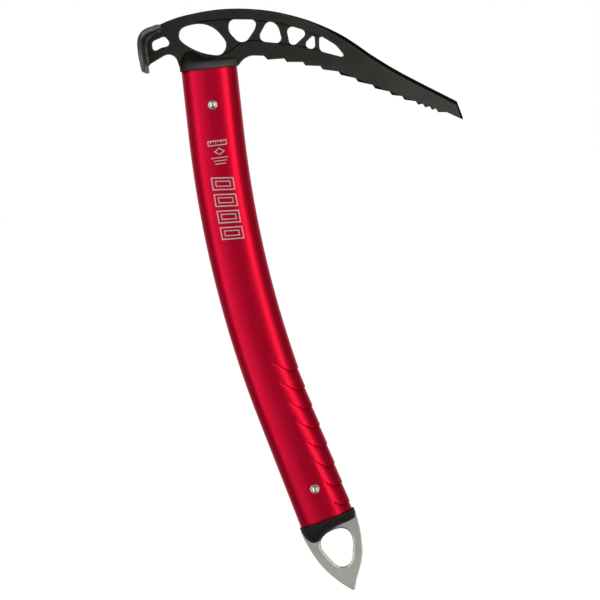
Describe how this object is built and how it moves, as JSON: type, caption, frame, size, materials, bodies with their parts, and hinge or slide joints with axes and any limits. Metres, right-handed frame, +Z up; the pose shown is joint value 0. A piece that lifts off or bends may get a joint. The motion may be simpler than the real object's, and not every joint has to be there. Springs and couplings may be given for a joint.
{
  "type": "ice axe",
  "caption": "Short ice axe with a curved oval shaft, a forged head with a toothed pick and a welded adze, pressed grip flutes, and a steel spike with an eye.",
  "frame": {"origin": "centre of the leash eye in the head, on the mid-plane of the head", "axes": "+Z up along the upper shaft's axis towards the head's crown, +X towards the pick, Y through the thickness of the head"},
  "size_m": [0.1833, 0.046, 0.3473],
  "materials": {
    "anodised_red": "satin anodised",
    "forged_black": "satin black coating",
    "weld_black": "coated weld, rough",
    "moulded_black": "fine moulded texture",
    "satin_steel": "satin",
    "rivet_steel": "bright"
  },
  "bodies": {
    "root": {"shaft_tube": "anodised_red", "head_blade": "forged_black", "adze_plate": "forged_black", "weld_bead_front": "weld_black", "weld_bead_back": "weld_black", "head_plug": "moulded_black", "head_rivet": "rivet_steel", "spike_blade": "satin_steel", "spike_plug": "moulded_black", "spike_rivet": "rivet_steel"}
  },
  "joints": []
}
